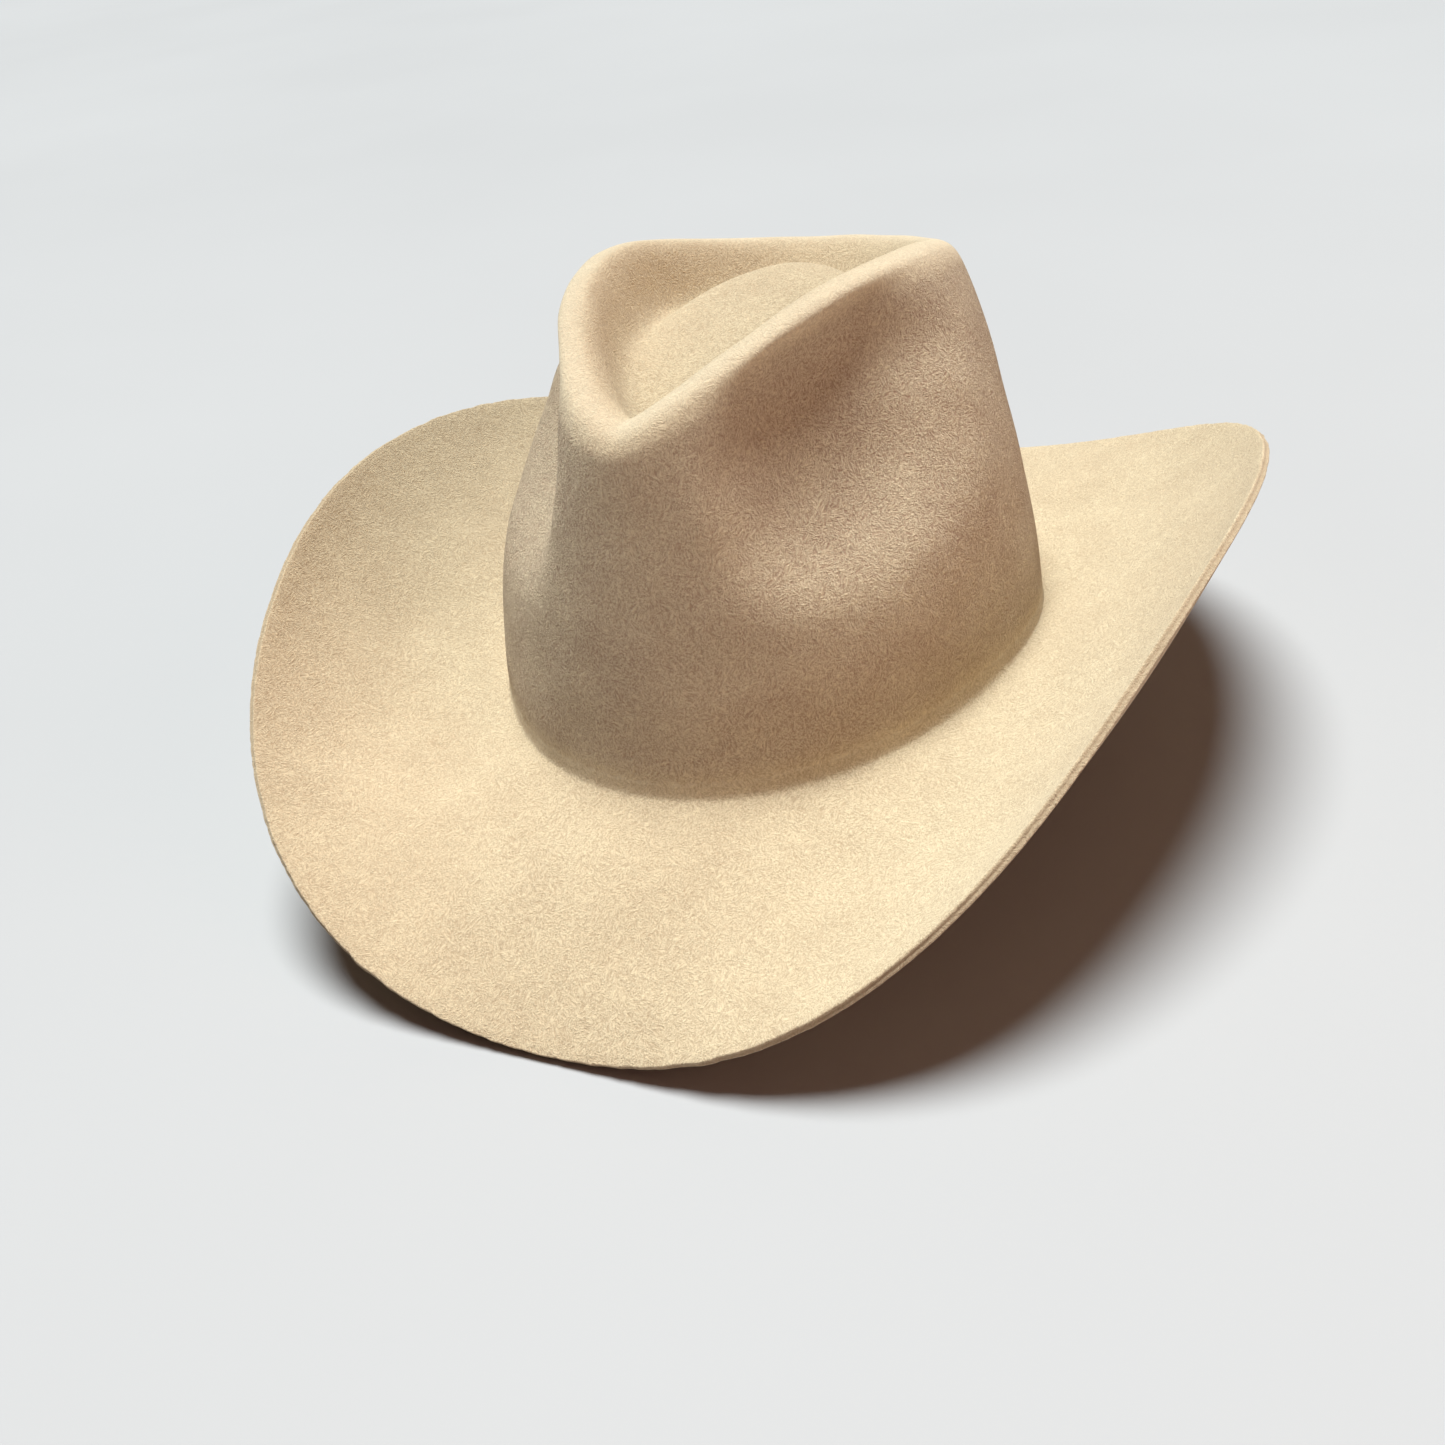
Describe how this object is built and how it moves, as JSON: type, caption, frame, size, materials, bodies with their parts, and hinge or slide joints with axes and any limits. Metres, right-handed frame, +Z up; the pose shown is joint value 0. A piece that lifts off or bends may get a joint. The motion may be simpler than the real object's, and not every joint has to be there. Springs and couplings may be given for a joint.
{
  "type": "cowboy hat",
  "caption": "Felt cowboy hat with a teardrop-creased, pinched crown and a brim curled up at the sides, with a leather sweatband and satin lining; worn on the head.",
  "frame": {"origin": "middle of the head opening, level with the line where the crown meets the brim", "axes": "+Z up as worn, the front of the hat faces -Y, +X is the wearer's left"},
  "size_m": [0.3174, 0.3694, 0.1751],
  "materials": {
    "felt": "sand wool felt, brushed nap, matt",
    "leather": "smooth tan leather, satin",
    "reed_plastic": "extruded off-white plastic",
    "tape_cloth": "woven cotton tape",
    "thread": "waxed sewing thread",
    "ribbon": "grosgrain ribbon",
    "satin": "champagne satin lining",
    "piping_cloth": "satin-covered cord",
    "clear_vinyl": "clear flexible sheet",
    "tag_cloth": "blank woven label"
  },
  "bodies": {
    "root": {"felt_body": "felt", "sweatband": "leather", "sweatband_reed": "reed_plastic", "reed_tape": "tape_cloth", "sweatband_stitching": "thread", "sweatband_seam_tape": "tape_cloth", "sweatband_bow": "ribbon", "liner_side": "satin", "liner_piping": "piping_cloth", "liner_tip": "satin", "tip_protector": "clear_vinyl", "size_tag": "tag_cloth"}
  },
  "joints": []
}
